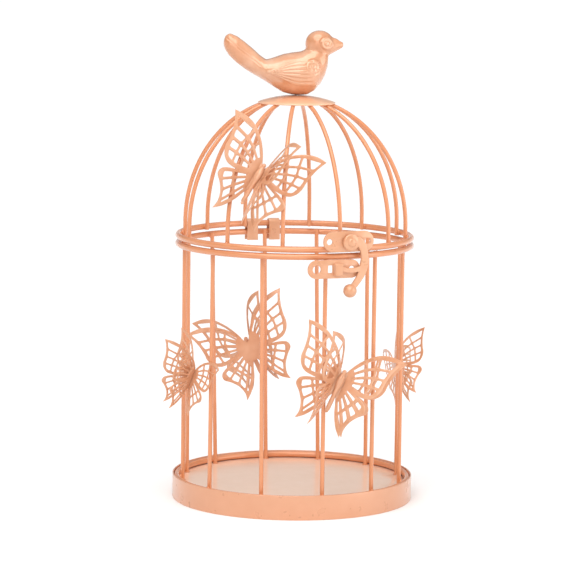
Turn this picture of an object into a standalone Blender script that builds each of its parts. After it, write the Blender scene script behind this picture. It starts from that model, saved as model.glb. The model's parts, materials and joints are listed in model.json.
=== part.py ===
"""Birdcage card box: a wire cage on a round tray, a hinged wire dome lid closed by a
swinging hook latch, a small bird on top and five pierced metal butterflies.

Metres, +Z up.  The origin is on the cage's axis, on the surface that the tray stands on.
The latch is on the -Y side and the hinge on the +Y side.
"""
import math

import bmesh
import bpy
from mathutils import Matrix, Vector

MM = 0.001
SHEET = 0.8 * MM
RING_TURNS = 48                      # flats around each wire ring

# Tray
TRAY_RADIUS = 75.0 * MM
TRAY_HEIGHT = 15.0 * MM
TRAY_FLATS = 72
FLOOR_RADIUS = TRAY_RADIUS - SHEET - 0.3 * MM
FLOOR_BOTTOM = 9.8 * MM
FLOOR_TOP = 10.7 * MM

# Wires
RING_WIRE = 1.9 * MM                 # radius of the thick ring wire
BAR_WIRE = 1.3 * MM                  # radius of the thin bar wire
RING_RADIUS = 72.2 * MM
BAR_RADIUS = 68.8 * MM               # bars stand just inside the rings
BAR_COUNT = 12
BAR_STEP = math.radians(360 / BAR_COUNT)
BASE_RING_HEIGHT = 12.8 * MM
BODY_RING_HEIGHT = 159.7 * MM
UPRIGHT_TOP = 161.2 * MM
UPRIGHT_TURN = math.radians(-1.5)    # the bar nearest the latch, from -Y towards +X
# How far each upright is welded from its even place at its foot and at its top, in degrees
UPRIGHT_SHIFTS = [(0.0, 0.3), (-0.7, -0.4), (0.0, 0.0), (0.0, 0.0), (0.8, 1.7), (0.3, 2.7),
                  (-1.1, 0.9), (0.5, 4.5), (0.0, 0.0), (-8.0, -6.0), (-2.5, -1.2),
                  (-1.0, -1.7)]

# Hinge: two bent straps hold the lid ring's wire against the body ring
HINGE_POINT = Vector((0, 71.75 * MM, 165.0 * MM))
LID_SAG = math.radians(0.438)        # the closed lid rests a little lower at the latch
STRAP_OFFSET = 7.35 * MM
STRAP_WIDTH = 7.2 * MM
STRAP_INNER = 2.4 * MM
STRAP_FOOT = 154.5 * MM

# Lid, as it would stand with no sag
LID_RING_HEIGHT = 165.1 * MM
RIB_FOOT = 163.4 * MM
DOME_SPRING = 172.5 * MM             # where the ribs leave the vertical
DOME_RISE = 78.2 * MM
RIB_TURN = math.radians(7.0)
# How far each rib is welded from its even place in degrees; the seventh clears a strap
RIB_SHIFTS = [-0.8, 1.7, 0.0, -2.8, -2.5, -1.7, 3.8, 0.0, 0.0, -4.0, 0.0, 0.0]
RIB_TOP_RADIUS = 19.5 * MM
RIB_POINTS = 11
CAP_RADIUS = 24.0 * MM
CAP_EDGE = 248.3 * MM
CAP_RISE = 4.2 * MM
CAP_HOLE = 1.7 * MM

# Bird, standing on the cap and turned from +X
BIRD_FOOT = 252.8 * MM
BIRD_TURN = math.radians(-17.0)
BIRD_SCREW_RADIUS = 1.4 * MM

# Latch, on a flat tangent to the rings.  In its frame x is to the right, y is up and
# z is out from the cage.
LATCH_TURN = math.radians(5.0)
LATCH_BACK = 74.25 * MM
PLATE_THICKNESS = 1.2 * MM
LATCH_PLATE_CENTRE = (4.4 * MM, 169.9 * MM)
LATCH_PLATE_LENGTH = 32.6 * MM
LATCH_PLATE_HEIGHT = 12.4 * MM
LATCH_HOLE_REACH = 12.3 * MM
PLATE_HOLE = 1.8 * MM
CATCH_PLATE_CENTRE = (-4.9 * MM, 152.5 * MM)
CATCH_PLATE_LENGTH = 33.6 * MM
CATCH_PLATE_HEIGHT = 11.2 * MM
CATCH_HOLE = (-15.9 * MM, 2.6 * MM)      # place along the plate and radius
CATCH_WINDOW = (-8.7 * MM, -5.8 * MM, 2.3 * MM)  # its two sides and half its height
CATCH_RIGHT_HOLE = (6.6 * MM, 1.7 * MM)
BRIDGE_SIDES = (-5.2 * MM, -0.4 * MM)    # closed at the left, open where the prong comes in
BRIDGE_REACH = 3.9 * MM
BRIDGE_WALL = 0.7 * MM
BRIDGE_DROP = 0.2 * MM                   # its middle below the plate's
BRIDGE_TOP = 78.9 * MM
PIVOT = (5.4 * MM, 169.5 * MM)
PIVOT_HOLE = 2.15 * MM
HOOK_BACK = LATCH_BACK + PLATE_THICKNESS + 0.35 * MM
HOOK_THICKNESS = 2.2 * MM
HUB_RADIUS = 5.2 * MM
PRONG_RADIUS = 16.8 * MM
PRONG_WIDTH = 2.9 * MM
PRONG_ARC = (-66, -119, -121)        # degrees: its root, then its tip outside and inside
BALL_RADIUS = 4.1 * MM
BALL_CENTRE = (-0.4 * MM, -29.1 * MM)    # from the pivot
RIVET_HEAD = 2.6 * MM

# Hook's arm in millimetres from the pivot: across, up and the width there
HOOK_ARM = [(3.0, 1.6, 5.4), (6.2, -1.0, 5.2), (8.1, -5.0, 4.7), (8.7, -9.5, 4.6),
            (8.4, -13.6, 5.2), (7.2, -18.0, 4.8), (5.0, -22.2, 4.1), (2.0, -26.2, 3.6)]

# Butterflies: two pierced sheets, the outer one folded up, under a pressed body strip
WING_SHEET = 0.5 * MM
FOLD_LINE = 2.8 * MM                 # the wings turn up this far from the middle line
FOLD_TOLERANCE = 0.005 * MM
BACK_FOLD = math.radians(4.0)
FRONT_FOLD = math.radians(46.0)
BACK_LAYER = 0.2 * MM                # each layer's height over the bars
FRONT_LAYER = 1.0 * MM
BODY_LAYER = 2.1 * MM
BODY_STRIP = 1.6 * MM

# Butterflies on the bars: the turn of each one's flat, its place to the right of it, its
# height, how far it stands off, lean to the right, tilt back at the top, size and fold
BAR_BUTTERFLIES = {
    "front": (-1.5, 9.0, 83.0, 0.0, 25.0, 0.0, 1.0, 46.0),
    "right": (88.5, 11.0, 78.2, 0.0, 32.0, 0.0, 0.72, 49.0),
    "rear": (178.5, 9.0, 83.0, 0.0, 25.0, 0.0, 1.0, 46.0),
    "left": (-71.0, -7.4, 81.0, 1.2, 24.0, -8.0, 0.72, 71.5),
}
DOME_BUTTERFLY_TURN = math.radians(-38.0)
DOME_BUTTERFLY_SLOPE = math.radians(18.0)
DOME_BUTTERFLY_RISE = 13.6 * MM      # above the point where its sheet touches the ribs
DOME_BUTTERFLY_LEAN = math.radians(25.0)

# Half of a wing sheet in millimetres, from the middle line at the head round to the tail
WING_OUTLINE = [(-1.0, 4.0), (1.5, 6.5), (5.5, 14.0), (11.0, 20.6), (18.5, 25.4),
                (27.0, 28.2), (34.2, 27.6), (30.8, 22.2), (28.0, 16.0), (26.9, 9.0),
                (27.0, 4.6), (25.0, 0.4), (20.6, -2.0), (14.0, -2.6), (19.0, -4.2),
                (23.4, -7.0), (24.3, -10.6), (20.0, -15.2), (16.6, -20.0), (15.4, -25.4),
                (16.2, -29.8), (11.0, -25.2), (6.8, -19.0), (3.4, -11.6), (1.4, -8.0),
                (-1.0, -8.0)]
WING_OPENINGS = [
    [(20.5, 24.0), (27.0, 26.4), (31.0, 25.8), (27.6, 19.4), (22.0, 19.8)],
    [(21.6, 18.0), (26.6, 17.6), (25.4, 12.8), (20.8, 13.4)],
    [(20.4, 11.6), (25.0, 11.0), (25.0, 6.6), (20.4, 7.6)],
    [(19.6, 5.8), (24.8, 4.8), (23.4, 1.6), (19.0, 0.8)],
    [(6.6, 12.4), (12.4, 18.6), (18.8, 22.4), (19.6, 18.0), (12.6, 13.0)],
    [(8.6, 6.4), (18.4, 14.0), (18.4, 8.4)],
    [(16.0, -5.4), (21.6, -7.8), (22.0, -10.2), (16.4, -9.4)],
    [(14.6, -11.0), (19.0, -12.2), (16.0, -16.0), (12.4, -14.2)],
    [(11.4, -15.6), (15.0, -17.4), (13.8, -22.6), (9.6, -18.6)],
]

# Half of the body strip in millimetres, from the head to the tail
BODY_OUTLINE = [(1.1, 8.4), (1.7, 7.0), (1.5, 5.6), (2.4, 4.2), (2.6, 0.0), (1.7, -3.0),
                (1.9, -9.0), (1.5, -17.0), (0.9, -19.4)]

# Bird's body in millimetres along its heading: place, underside, back, half width
BIRD_SECTIONS = [(-45.6, 29.4, 33.0, 2.4), (-41.8, 23.2, 37.4, 5.6), (-35.4, 17.4, 34.2, 6.6),
                 (-27.4, 12.3, 27.8, 8.0), (-19.4, 7.4, 21.4, 10.8), (-11.2, 2.2, 24.0, 13.0),
                 (-3.4, -0.5, 26.0, 14.0), (4.4, -0.5, 27.8, 13.2), (11.4, 3.0, 30.2, 11.0),
                 (16.4, 9.4, 30.4, 8.4), (19.4, 17.0, 26.0, 4.0)]
BIRD_HEAD = (14.4, 31.5, 8.1)            # along, up and radius
BIRD_BEAK = (24.2, 31.5, 8.6)            # along, up and length
BIRD_BEAK_RADII = (4.2 * MM, 1.2 * MM)   # at its root and at its tip
BIRD_BEAK_TILT = math.radians(93)
BIRD_SECTION_POINTS = 14


def clearScene():
    for item in list(bpy.data.objects):
        bpy.data.objects.remove(item, do_unlink=True)


def newCollection(name):
    group = bpy.data.collections.new(name)
    bpy.context.scene.collection.children.link(group)
    return group


def lacquer(name, colour, roughness):
    """A painted metal finish."""
    material = bpy.data.materials.new(name)
    material.use_nodes = True
    shader = material.node_tree.nodes["Principled BSDF"]
    shader.inputs["Base Color"].default_value = (*colour, 1)
    shader.inputs["Roughness"].default_value = roughness
    shader.inputs["Metallic"].default_value = 0.25
    return material


def addObject(name, mesh, material, place=Matrix()):
    piece = bpy.data.objects.new(name, mesh)
    if not mesh.materials:
        mesh.materials.append(material)
    piece.matrix_world = place
    PARTS.objects.link(piece)
    return piece


def evaluatedMesh(item):
    """A new mesh of the object as its modifiers leave it, welded; the object goes."""
    bpy.context.view_layer.update()
    graph = bpy.context.evaluated_depsgraph_get()
    mesh = bpy.data.meshes.new_from_object(item.evaluated_get(graph))
    bpy.data.objects.remove(item, do_unlink=True)
    work = bmesh.new()
    work.from_mesh(mesh)
    bmesh.ops.remove_doubles(work, verts=work.verts, dist=1e-6)
    work.to_mesh(mesh)
    work.free()
    mesh.materials.clear()
    return mesh


def smoothed(mesh, angle=40):
    mesh.shade_smooth()
    mesh.set_sharp_from_angle(angle=math.radians(angle))
    return mesh


def curveData(name, dimensions):
    curve = bpy.data.curves.new(name, "CURVE")
    curve.dimensions = dimensions
    return curve


def addSpline(curve, points, cyclic):
    spline = curve.splines.new("POLY")
    spline.points.add(len(points) - 1)
    for target, point in zip(spline.points, points):
        target.co = (*point, 0, 1) if len(point) == 2 else (*point, 1)
    spline.use_cyclic_u = cyclic


def wireMesh(name, points, radius, cyclic=False):
    """A round wire along a line of points."""
    curve = curveData(name, "3D")
    addSpline(curve, points, cyclic)
    curve.bevel_depth = radius
    curve.bevel_resolution = 2
    curve.use_fill_caps = True
    item = bpy.data.objects.new(name, curve)
    PARTS.objects.link(item)
    return smoothed(evaluatedMesh(item))


def flatMesh(name, outlines, thickness):
    """A flat plate on z = 0 .. thickness with its outline first and its holes after."""
    curve = curveData(name, "2D")
    curve.fill_mode = "BOTH"
    curve.extrude = thickness / 2
    for outline in outlines:
        addSpline(curve, outline, True)
    item = bpy.data.objects.new(name, curve)
    PARTS.objects.link(item)
    mesh = evaluatedMesh(item)
    mesh.transform(Matrix.Translation((0, 0, thickness / 2)))
    return mesh


def turnedMesh(name, profile, steps, closed):
    """A profile of (radius, height) points turned about Z, from top to bottom outside."""
    mesh = bpy.data.meshes.new(name)
    count = len(profile)
    edges = [(i, (i + 1) % count) for i in range(count if closed else count - 1)]
    mesh.from_pydata([(radius, 0, height) for radius, height in profile], edges, [])
    item = bpy.data.objects.new(name, mesh)
    PARTS.objects.link(item)
    screw = item.modifiers.new("turn", "SCREW")
    screw.steps = steps
    screw.render_steps = steps
    screw.use_merge_vertices = True
    screw.merge_threshold = 1e-6
    return smoothed(evaluatedMesh(item))


def cylinderMesh(name, radius, bottom, top, segments=24):
    """An upright cylinder on the Z axis."""
    work = bmesh.new()
    bmesh.ops.create_cone(work, cap_ends=True, segments=segments, radius1=radius,
                          radius2=radius, depth=top - bottom,
                          matrix=Matrix.Translation((0, 0, (top + bottom) / 2)))
    mesh = bpy.data.meshes.new(name)
    work.to_mesh(mesh)
    work.free()
    return smoothed(mesh)


def combined(item, tool, operation):
    """Cuts or joins the object with a tool mesh that is already in its frame."""
    cutter = bpy.data.objects.new(item.name + "_tool", tool)
    cutter.matrix_world = item.matrix_world
    cutter.hide_render = True
    cutter.display_type = "WIRE"
    CUTTERS.objects.link(cutter)
    boolean = item.modifiers.new(operation.lower(), "BOOLEAN")
    boolean.operation = operation
    boolean.object = cutter
    return cutter


def aroundZ(radius, angle, height):
    """A point at an angle measured from -Y towards +X."""
    return Vector((radius * math.sin(angle), -radius * math.cos(angle), height))


def arcPoints(centre, radius, start, end, steps):
    """Points of an arc in the plane, by angles in degrees."""
    points = []
    for i in range(steps + 1):
        angle = math.radians(start + (end - start) * i / steps)
        points.append((centre[0] + radius * math.cos(angle), centre[1] + radius * math.sin(angle)))
    return points


def circlePoints(centre, radius, steps=16):
    return arcPoints(centre, radius, 0, 360 - 360 / steps, steps - 1)


def tangentFrame(angle, distance, height=0.0, aside=0.0):
    """A frame on the cage's side: x to the right, y up, z outwards."""
    right = Vector((math.cos(angle), math.sin(angle), 0))
    outward = aroundZ(1, angle, 0)
    place = Matrix((right, Vector((0, 0, 1)), outward)).transposed().to_4x4()
    place.translation = outward * distance + right * aside + Vector((0, 0, height))
    return place


def rideOn(piece, empty):
    """Parents a piece, made in the cage's frame, to an empty that stands at its joint."""
    place = piece.matrix_world.copy()
    piece.parent = empty
    piece.matrix_parent_inverse = Matrix.Translation(-empty.location)
    piece.matrix_basis = place
    return piece


def buildTray(paint):
    inner = TRAY_RADIUS - SHEET
    wall = [(TRAY_RADIUS, TRAY_HEIGHT), (TRAY_RADIUS, 0), (inner, 0), (inner, TRAY_HEIGHT)]
    addObject("base_band", turnedMesh("base_band", wall, TRAY_FLATS, True), paint)
    floor = cylinderMesh("floor_plate", FLOOR_RADIUS, FLOOR_BOTTOM, FLOOR_TOP, TRAY_FLATS)
    addObject("floor_plate", floor, paint)


def wireRing(name, height, turn, paint):
    points = []
    for i in range(RING_TURNS):
        points.append(aroundZ(RING_RADIUS, turn + math.tau * i / RING_TURNS, height))
    return addObject(name, wireMesh(name, points, RING_WIRE, True), paint)


def buildUprights(paint):
    floor = FLOOR_TOP + 0.2 * MM
    for i in range(BAR_COUNT):
        name = f"upright_{i + 1:02d}"
        foot, top = (math.radians(shift) for shift in UPRIGHT_SHIFTS[i])
        angle = UPRIGHT_TURN + BAR_STEP * i
        points = [aroundZ(BAR_RADIUS, angle + foot, floor),
                  aroundZ(BAR_RADIUS, angle + top, UPRIGHT_TOP)]
        addObject(name, wireMesh(name, points, BAR_WIRE), paint)


def strapOutline():
    """The strap's edge-on shape: an upside-down U of sheet, x across it and y up."""
    outer = STRAP_INNER + SHEET
    crown = HINGE_POINT.z - STRAP_FOOT
    outline = [(outer, 0), (outer, crown)]
    outline += arcPoints((0, crown), outer, 15, 165, 10)
    outline += [(-outer, crown), (-outer, 0), (-STRAP_INNER, 0), (-STRAP_INNER, crown)]
    outline += arcPoints((0, crown), STRAP_INNER, 165, 15, 10)
    outline += [(STRAP_INNER, crown), (STRAP_INNER, 0)]
    return outline


def buildHingeStraps(paint):
    mesh = flatMesh("hinge_strap", [strapOutline()], STRAP_WIDTH)
    acrossX = Matrix(((0, 0, 1, 0), (1, 0, 0, 0), (0, 1, 0, 0), (0, 0, 0, 1)))
    for side, name in ((-1, "hinge_strap_left"), (1, "hinge_strap_right")):
        edge = side * STRAP_OFFSET - STRAP_WIDTH / 2
        place = Matrix.Translation((edge, HINGE_POINT.y, STRAP_FOOT)) @ acrossX
        addObject(name, mesh, paint, place)


def ribPoints(angle):
    """From inside the lid ring up a straight foot, then a quarter ellipse to the cap."""
    last = math.acos(RIB_TOP_RADIUS / BAR_RADIUS)
    points = [aroundZ(BAR_RADIUS, angle, RIB_FOOT)]
    for i in range(RIB_POINTS):
        turn = last * i / (RIB_POINTS - 1)
        height = DOME_SPRING + DOME_RISE * math.sin(turn)
        points.append(aroundZ(BAR_RADIUS * math.cos(turn), angle, height))
    return points


def buildRibs(lid, paint):
    for i in range(BAR_COUNT):
        name = f"dome_rib_{i + 1:02d}"
        shift = math.radians(RIB_SHIFTS[i])
        points = ribPoints(RIB_TURN + BAR_STEP * i + shift)
        rideOn(addObject(name, wireMesh(name, points, BAR_WIRE), paint), lid)


def buildCap(lid, paint):
    """A shallow spherical dish of sheet with a screw hole in the middle."""
    sphere = (CAP_RADIUS ** 2 + CAP_RISE ** 2) / (2 * CAP_RISE)
    steps = 5
    outside = []
    inside = []
    for i in range(steps + 1):
        radius = CAP_HOLE + (CAP_RADIUS - CAP_HOLE) * i / steps
        top = CAP_EDGE + CAP_RISE - sphere + math.sqrt(sphere ** 2 - radius ** 2)
        outside.append((radius, top))
        inside.append((radius, top - SHEET))
    mesh = turnedMesh("crown_cap", outside + inside[::-1], 36, True)
    rideOn(addObject("crown_cap", mesh, paint), lid)


def buildBirdScrew(lid, paint):
    head = CAP_EDGE + CAP_RISE - SHEET - 0.2 * MM
    profile = [(0, BIRD_FOOT + 6 * MM), (BIRD_SCREW_RADIUS, BIRD_FOOT + 6 * MM),
               (BIRD_SCREW_RADIUS, head), (3.2 * MM, head), (3.2 * MM, head - 1.0 * MM),
               (2.2 * MM, head - 2.0 * MM), (0, head - 2.0 * MM)]
    rideOn(addObject("bird_screw", turnedMesh("bird_screw", profile, 16, False), paint), lid)


def birdBodyMesh():
    """A loft of upright oval sections along the bird's length, flat where it stands."""
    work = bmesh.new()
    rings = []
    for along, under, back, half in BIRD_SECTIONS:
        middle = Vector((along, 0, (under + back) / 2)) * MM
        shape = Matrix.Diagonal((1, half * MM, (back - under) / 2 * MM, 1))
        stand = Matrix.Rotation(math.radians(90), 4, "Y")
        ring = bmesh.ops.create_circle(work, segments=BIRD_SECTION_POINTS, radius=1,
                                       matrix=Matrix.Translation(middle) @ shape @ stand)
        rings.append(ring["verts"])
    for ring in (rings[0], rings[-1]):
        work.faces.new(ring)
    for first, second in zip(rings, rings[1:]):
        edges = [e for e in work.edges if all(v in first for v in e.verts)]
        edges += [e for e in work.edges if all(v in second for v in e.verts)]
        bmesh.ops.bridge_loops(work, edges=edges)
    for vert in work.verts:
        vert.co.z = max(vert.co.z, 0)
    bmesh.ops.recalc_face_normals(work, faces=work.faces)
    mesh = bpy.data.meshes.new("bird")
    work.to_mesh(mesh)
    work.free()
    return mesh


def birdHeadMesh():
    along, up, radius = BIRD_HEAD
    work = bmesh.new()
    bmesh.ops.create_uvsphere(work, u_segments=20, v_segments=12, radius=radius * MM,
                              matrix=Matrix.Translation(Vector((along, 0, up)) * MM))
    mesh = bpy.data.meshes.new("bird_head")
    work.to_mesh(mesh)
    work.free()
    return mesh


def birdBeakMesh():
    along, up, length = BIRD_BEAK
    point = Vector((along, 0, up)) * MM
    lean = Matrix.Rotation(BIRD_BEAK_TILT, 4, "Y")
    work = bmesh.new()
    bmesh.ops.create_cone(work, cap_ends=True, segments=12,
                          radius1=BIRD_BEAK_RADII[0], radius2=BIRD_BEAK_RADII[1],
                          depth=length * MM,
                          matrix=Matrix.Translation(point) @ lean)
    mesh = bpy.data.meshes.new("bird_beak")
    work.to_mesh(mesh)
    work.free()
    return mesh


def buildBird(lid, paint):
    place = Matrix.Translation((0, 0, BIRD_FOOT)) @ Matrix.Rotation(BIRD_TURN, 4, "Z")
    bird = addObject("bird", birdBodyMesh(), paint, place)
    hole = cylinderMesh("bird_hole", BIRD_SCREW_RADIUS + 0.2 * MM, -2 * MM, 6.4 * MM, 16)
    tools = [combined(bird, birdHeadMesh(), "UNION"), combined(bird, birdBeakMesh(), "UNION"),
             combined(bird, hole, "DIFFERENCE")]
    for piece in (bird, *tools):
        rideOn(piece, lid)


def ovalPlateOutline(centre, length, height):
    """A plate with round ends."""
    radius = height / 2
    reach = length / 2 - radius
    x, y = centre
    return (arcPoints((x + reach, y), radius, -90, 90, 8)
            + arcPoints((x - reach, y), radius, 90, 270, 8))


def buildLatchPlate(lid, place, paint):
    x, y = LATCH_PLATE_CENTRE
    holes = [circlePoints((x - LATCH_HOLE_REACH, y), PLATE_HOLE, 12),
             circlePoints((x + LATCH_HOLE_REACH, y), PLATE_HOLE, 12),
             circlePoints(PIVOT, PIVOT_HOLE)]
    outline = ovalPlateOutline(LATCH_PLATE_CENTRE, LATCH_PLATE_LENGTH, LATCH_PLATE_HEIGHT)
    mesh = flatMesh("latch_plate", [outline, *holes], PLATE_THICKNESS)
    rideOn(addObject("latch_plate", mesh, paint, place), lid)


def rectangle(left, right, low, high):
    return [(left, low), (left, high), (right, high), (right, low)]


def bridgeMesh(name, inset, low, right):
    """The bridge's block, or with an inset the pocket that the prong slides into."""
    left = BRIDGE_SIDES[0] + inset
    middle = CATCH_PLATE_CENTRE[1] - BRIDGE_DROP
    reach = BRIDGE_REACH - inset
    outline = rectangle(left, right, middle - reach, middle + reach)
    mesh = flatMesh(name, [outline], BRIDGE_TOP - LATCH_BACK - inset - low)
    mesh.transform(Matrix.Translation((0, 0, low)))
    return mesh


def buildCatchPlate(place, paint):
    """A plate with a raised keeper on it, open to the right for the hook's prong."""
    y = CATCH_PLATE_CENTRE[1]
    holes = [circlePoints((CATCH_HOLE[0], y), CATCH_HOLE[1], 14),
             rectangle(*CATCH_WINDOW[:2], y - CATCH_WINDOW[2], y + CATCH_WINDOW[2]),
             circlePoints((CATCH_RIGHT_HOLE[0], y), CATCH_RIGHT_HOLE[1], 12)]
    outline = ovalPlateOutline(CATCH_PLATE_CENTRE, CATCH_PLATE_LENGTH, CATCH_PLATE_HEIGHT)
    mesh = flatMesh("catch_plate", [outline, *holes], PLATE_THICKNESS)
    plate = addObject("catch_plate", mesh, paint, place)
    block = bridgeMesh("catch_bridge", 0, PLATE_THICKNESS / 2, BRIDGE_SIDES[1])
    pocket = bridgeMesh("catch_pocket", BRIDGE_WALL, PLATE_THICKNESS, BRIDGE_SIDES[1] + MM)
    combined(plate, block, "UNION")
    combined(plate, pocket, "DIFFERENCE")


def hookOutline():
    """The arm bows to the right of the pivot and ends over the ball."""
    x, y = PIVOT
    middle = [Vector(point[:2]) for point in HOOK_ARM]
    left = []
    right = []
    for i, point in enumerate(middle):
        ahead = middle[min(i + 1, len(middle) - 1)] - middle[max(i - 1, 0)]
        ahead.normalize()
        side = Vector((-ahead.y, ahead.x)) * HOOK_ARM[i][2] / 2
        right.append((x + (point.x + side.x) * MM, y + (point.y + side.y) * MM))
        left.append((x + (point.x - side.x) * MM, y + (point.y - side.y) * MM))
    return left + right[::-1]


def prongOutline():
    """A finger on an arc about the pivot, so that it slides straight under the bridge."""
    outer = PRONG_RADIUS + PRONG_WIDTH / 2
    inner = PRONG_RADIUS - PRONG_WIDTH / 2
    start, outerEnd, innerEnd = PRONG_ARC
    outside = arcPoints(PIVOT, outer, start, outerEnd, 8)
    inside = arcPoints(PIVOT, inner, innerEnd, start, 8)
    return outside + inside


def buildHook(lid, place, paint):
    """The swinging hook, whose origin is on its pivot."""
    pivot = Matrix.Translation((PIVOT[0], PIVOT[1], HOOK_BACK - LATCH_BACK))
    home = pivot.inverted() @ Matrix.Translation((0, 0, HOOK_BACK - LATCH_BACK))
    arm = flatMesh("latch_hook", [hookOutline()], HOOK_THICKNESS)
    arm.transform(home)
    hook = addObject("latch_hook", arm, paint, place @ pivot)
    hub = flatMesh("hook_hub", [circlePoints(PIVOT, HUB_RADIUS, 28)], HOOK_THICKNESS)
    prong = flatMesh("hook_prong", [prongOutline()], HOOK_THICKNESS)
    for shape in (hub, prong):
        shape.transform(home)
    work = bmesh.new()
    ball = Vector((*BALL_CENTRE, HOOK_THICKNESS / 2))
    bmesh.ops.create_uvsphere(work, u_segments=16, v_segments=10, radius=BALL_RADIUS,
                              matrix=Matrix.Translation(ball))
    knob = bpy.data.meshes.new("hook_ball")
    work.to_mesh(knob)
    work.free()
    hole = cylinderMesh("hook_hole", PIVOT_HOLE, -1 * MM, HOOK_THICKNESS + 1 * MM, 16)
    tools = [combined(hook, hub, "UNION"), combined(hook, prong, "UNION"),
             combined(hook, knob, "UNION"), combined(hook, hole, "DIFFERENCE")]
    for piece in (hook, *tools):
        rideOn(piece, lid)


def buildRivet(lid, place, paint):
    shank = PIVOT_HOLE - 0.25 * MM
    head = HOOK_BACK - LATCH_BACK + HOOK_THICKNESS + 0.2 * MM
    foot = -0.6 * MM
    profile = [(0, head + 1.2 * MM), (RIVET_HEAD * 0.6, head + 1.0 * MM),
               (RIVET_HEAD, head + 0.3 * MM), (RIVET_HEAD, head), (shank, head),
               (shank, foot), (0, foot)]
    mesh = turnedMesh("hook_rivet", profile, 20, False)
    pivot = Matrix.Translation((PIVOT[0], PIVOT[1], 0))
    rideOn(addObject("hook_rivet", mesh, paint, place @ pivot), lid)


def wingMesh(name, fold, size):
    """Both halves of a pierced wing sheet, folded up along the edges of the body strip."""
    unit = size * MM
    outlines = [[(x * unit, y * unit) for x, y in line] for line in (WING_OUTLINE, *WING_OPENINGS)]
    mesh = flatMesh(name, outlines, WING_SHEET)
    work = bmesh.new()
    work.from_mesh(mesh)
    line = FOLD_LINE * size
    middle = WING_SHEET / 2
    bmesh.ops.bisect_plane(work, geom=[*work.verts, *work.edges, *work.faces],
                           plane_co=(line, 0, 0), plane_no=(1, 0, 0))
    for vert in work.verts:
        beyond = vert.co.x - line
        lift = vert.co.z - middle
        if beyond > FOLD_TOLERANCE:
            vert.co.x = line + beyond * math.cos(fold) - lift * math.sin(fold)
            vert.co.z = middle + beyond * math.sin(fold) + lift * math.cos(fold)
        elif beyond > -FOLD_TOLERANCE:
            vert.co.x = line - lift * math.tan(fold / 2)
    work.to_mesh(mesh)
    work.free()
    item = bpy.data.objects.new(name, mesh)
    PARTS.objects.link(item)
    mirror = item.modifiers.new("mirror", "MIRROR")
    mirror.use_bisect_axis[0] = True
    mirror.bisect_threshold = 1e-6
    mirror.merge_threshold = 2e-5
    return evaluatedMesh(item)


def bodyMesh(size):
    """The pressed strip between the wings: round head, thorax and a tapering abdomen."""
    half = [Vector(point) * size * MM for point in BODY_OUTLINE]
    mirrored = [Vector((-point.x, point.y)) for point in half[::-1]]
    return flatMesh("butterfly_body", [half[::-1] + mirrored[::-1]], BODY_STRIP * size)


def buildButterfly(name, place, size, fold, paint, lid=None):
    """The sheets and the body strip, laid on a flat whose z points away from the cage."""
    layers = (("back_wings", wingMesh("back_wings", BACK_FOLD, size), BACK_LAYER),
              ("front_wings", wingMesh("front_wings", fold, size), FRONT_LAYER),
              ("body", bodyMesh(size), BODY_LAYER))
    for part, mesh, layer in layers:
        lifted = place @ Matrix.Translation((0, 0, layer))
        piece = addObject(f"{name}_butterfly_{part}", mesh, paint, lifted)
        if lid:
            rideOn(piece, lid)


def buildBarButterflies(paint):
    for name, row in BAR_BUTTERFLIES.items():
        turn, aside, height, off, lean, tilt, size, fold = row
        flat = tangentFrame(math.radians(turn), BAR_RADIUS + BAR_WIRE + off * MM,
                            height * MM, aside * MM)
        place = (flat @ Matrix.Rotation(math.radians(tilt), 4, "X")
                 @ Matrix.Rotation(math.radians(-lean), 4, "Z"))
        buildButterfly(name, place, size, math.radians(fold), paint)


def domeButterflyPlace():
    """A flat that touches the two ribs beside it, part way up the dome."""
    across = BAR_RADIUS * math.cos(BAR_STEP / 2)
    slope = DOME_BUTTERFLY_SLOPE
    reach = math.hypot(across * math.cos(slope), DOME_RISE * math.sin(slope)) + BAR_WIRE
    spring = tangentFrame(DOME_BUTTERFLY_TURN, 0, DOME_SPRING)
    return (spring @ Matrix.Rotation(-slope, 4, "X")
            @ Matrix.Translation((0, DOME_BUTTERFLY_RISE, reach))
            @ Matrix.Rotation(-DOME_BUTTERFLY_LEAN, 4, "Z"))


def build():
    steelPaint = lacquer("peach lacquer", (0.87, 0.45, 0.29), 0.34)
    trayPaint = lacquer("tray lacquer", (0.88, 0.52, 0.36), 0.3)
    castPaint = lacquer("bird lacquer", (0.86, 0.42, 0.26), 0.22)
    latchPaint = lacquer("latch lacquer", (0.95, 0.6, 0.42), 0.38)
    wingPaint = lacquer("butterfly lacquer", (0.8, 0.44, 0.26), 0.4)
    screwSteel = lacquer("screw steel", (0.55, 0.55, 0.56), 0.4)

    lid = bpy.data.objects.new("lid_axis", None)
    lid.location = HINGE_POINT
    lid.rotation_euler.x = LID_SAG
    PARTS.objects.link(lid)
    latch = tangentFrame(LATCH_TURN, LATCH_BACK)

    buildTray(trayPaint)
    wireRing("base_ring", BASE_RING_HEIGHT, UPRIGHT_TURN, steelPaint)
    buildUprights(steelPaint)
    wireRing("body_ring", BODY_RING_HEIGHT, UPRIGHT_TURN, steelPaint)
    buildHingeStraps(latchPaint)
    buildCatchPlate(latch, latchPaint)

    rideOn(wireRing("lid_ring", LID_RING_HEIGHT, RIB_TURN, steelPaint), lid)
    buildRibs(lid, steelPaint)
    buildCap(lid, latchPaint)
    buildBird(lid, castPaint)
    buildBirdScrew(lid, screwSteel)
    buildLatchPlate(lid, latch, latchPaint)
    buildRivet(lid, latch, latchPaint)
    buildHook(lid, latch, latchPaint)

    buildBarButterflies(wingPaint)
    buildButterfly("dome", domeButterflyPlace(), 1.0, FRONT_FOLD, wingPaint, lid)


clearScene()
PARTS = newCollection("birdcage_card_box")
CUTTERS = newCollection("cutters")
build()
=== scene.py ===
# Birdcage card box: the finished surfaces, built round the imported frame
import json
import math

import bmesh
import bpy
from mathutils import Matrix, Vector


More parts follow.
